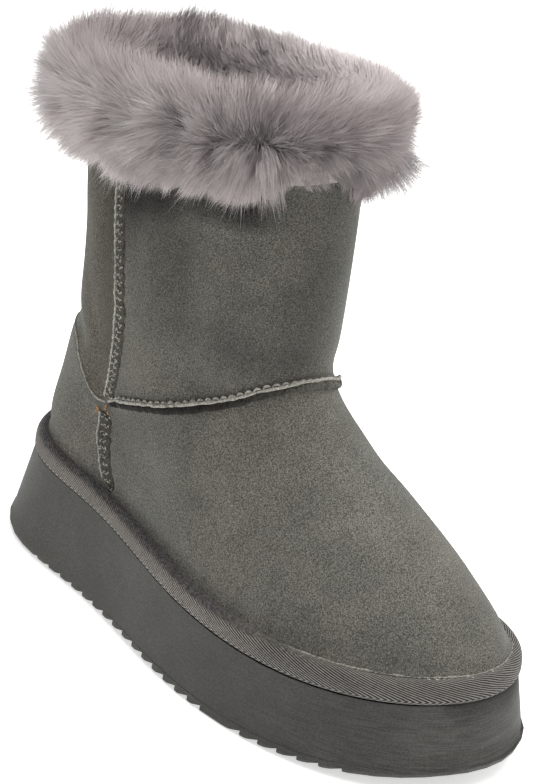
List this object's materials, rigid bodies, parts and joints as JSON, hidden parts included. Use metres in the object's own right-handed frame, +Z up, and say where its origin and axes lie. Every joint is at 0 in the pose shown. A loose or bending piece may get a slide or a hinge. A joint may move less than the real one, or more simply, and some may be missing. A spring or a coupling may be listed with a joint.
{
  "type": "ankle boot",
  "caption": "Platform ankle boot with a hollow pile-lined suede upper, tape-wrapped bead, ripple-tread foam sole and deep fur cuff.",
  "frame": {"origin": "on the ground, under the middle of the whole boot's box", "axes": "+Z up, the toe points along -Y and the heel along +Y, the wearer's outer side is -X"},
  "size_m": [0.1182, 0.2832, 0.2747],
  "materials": {
    "sole": "satin",
    "tape": "ribbed",
    "suede": "suede nap",
    "pile": "short pile",
    "fur": "deep fur"
  },
  "bodies": {
    "root": {"platform_sole": "sole", "welt_tape": "tape", "upper": "suede", "insole": "pile", "fur_cuff": "fur"}
  },
  "joints": []
}
